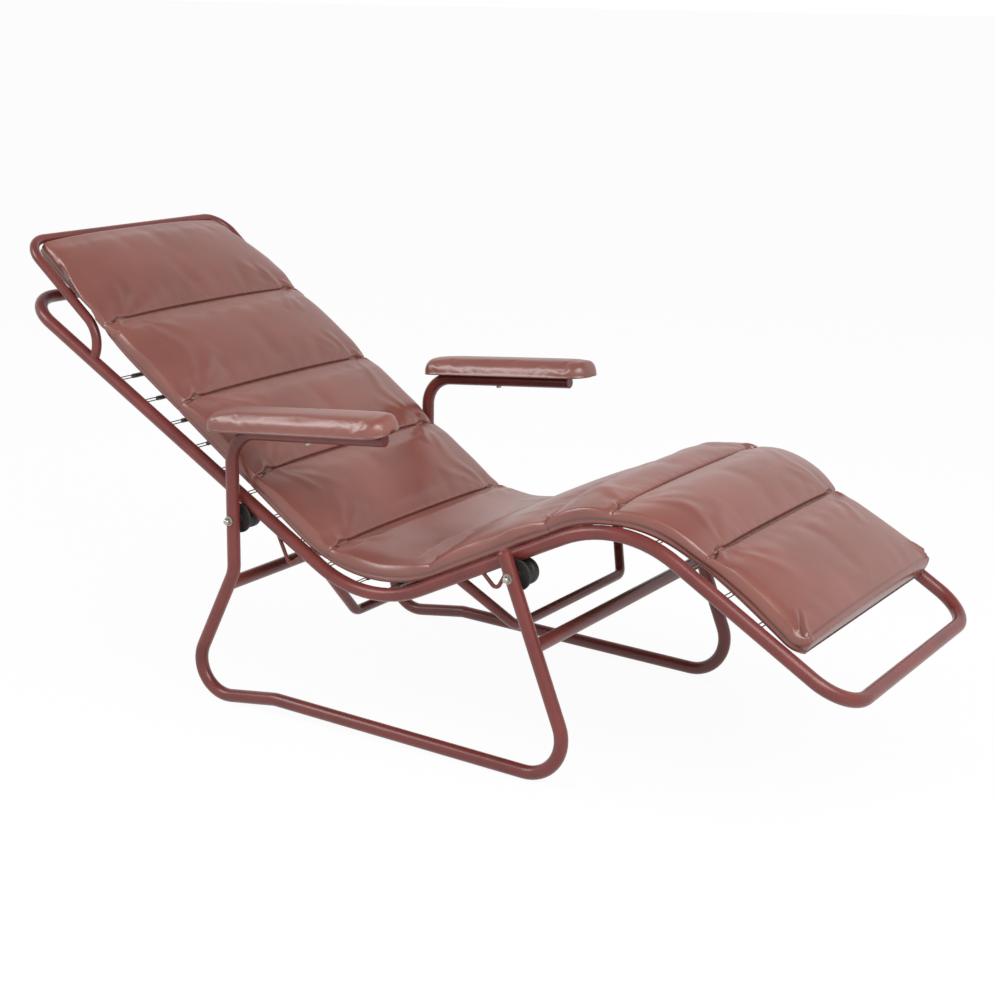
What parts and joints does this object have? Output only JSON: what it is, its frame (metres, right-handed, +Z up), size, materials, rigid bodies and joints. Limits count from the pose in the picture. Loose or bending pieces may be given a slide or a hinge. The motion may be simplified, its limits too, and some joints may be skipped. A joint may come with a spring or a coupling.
{
  "type": "reclining lounge chair",
  "caption": "Reclining tubular steel lounge chair: a leather mattress on a sprung cradle that tilts on grooved rollers inside a bent tube base with padded armrests.",
  "frame": {"origin": "on the floor, midway between the head and foot ends and midway between the sides", "axes": "+X towards the foot end, +Y towards the sitter's left, +Z up"},
  "size_m": [1.7014, 0.7042, 0.8068],
  "materials": {
    "frame_paint": "semi-gloss red-brown enamel",
    "mattress_leather": "smooth, soft sheen",
    "mattress_wadding": "matte",
    "canvas": "matte weave",
    "roller_rubber": "matte",
    "bright_steel": "bright zinc",
    "spring_steel": "dull dark steel",
    "board_wood": "raw"
  },
  "bodies": {
    "base": {"left_side_frame": "frame_paint", "right_side_frame": "frame_paint", "rear_crossbar": "frame_paint", "front_crossbar": "frame_paint", "arm_end_plugs": "frame_paint", "leg_top_plugs": "frame_paint", "roller_bolts": "bright_steel", "dome_nuts": "bright_steel", "bolt_washers": "bright_steel", "left_arm_board": "board_wood", "right_arm_board": "board_wood", "left_arm_pad": "mattress_leather", "right_arm_pad": "mattress_leather", "arm_screws": "bright_steel"},
    "cradle": {"left_rail": "frame_paint", "right_rail": "frame_paint", "head_bow": "frame_paint", "foot_bow": "frame_paint", "headrest_hoop": "frame_paint", "front_stretcher": "frame_paint", "rear_stretcher": "frame_paint", "front_stops": "frame_paint", "rear_stops": "frame_paint", "canvas_sling": "canvas", "left_sling_rod": "spring_steel", "right_sling_rod": "spring_steel", "left_springs": "spring_steel", "right_springs": "spring_steel", "mattress_cover": "mattress_leather", "mattress_filling": "mattress_wadding"},
    "rear_left_roller": {"rear_left_roller": "roller_rubber"},
    "rear_right_roller": {"rear_right_roller": "roller_rubber"},
    "front_left_roller": {"front_left_roller": "roller_rubber"},
    "front_right_roller": {"front_right_roller": "roller_rubber"}
  },
  "joints": [
    {"name": "cradle_tilt", "type": "hinge", "parent": "base", "child": "cradle", "pos_m": [0.0298, 0, 0.8793], "axis": [0, 1, 0], "range_deg": [0, 6]},
    {"name": "rear_left_roller_turn", "type": "hinge", "parent": "base", "child": "rear_left_roller", "pos_m": [-0.3194, 0.2767, 0.3477], "axis": [0, 1, 0], "range_deg": [-215, 15]},
    {"name": "rear_right_roller_turn", "type": "hinge", "parent": "base", "child": "rear_right_roller", "pos_m": [-0.3194, -0.2767, 0.3477], "axis": [0, 1, 0], "range_deg": [-215, 15]},
    {"name": "front_left_roller_turn", "type": "hinge", "parent": "base", "child": "front_left_roller", "pos_m": [0.26182, 0.2767, 0.34312], "axis": [0, 1, 0], "range_deg": [-215, 15]},
    {"name": "front_right_roller_turn", "type": "hinge", "parent": "base", "child": "front_right_roller", "pos_m": [0.26182, -0.2767, 0.34312], "axis": [0, 1, 0], "range_deg": [-215, 15]}
  ],
  "couplings": [
    {"joint": "rear_left_roller_turn", "follows": "cradle_tilt", "ratio": -33.4},
    {"joint": "rear_right_roller_turn", "follows": "cradle_tilt", "ratio": -33.4},
    {"joint": "front_left_roller_turn", "follows": "cradle_tilt", "ratio": -30.6},
    {"joint": "front_right_roller_turn", "follows": "cradle_tilt", "ratio": -30.6}
  ]
}
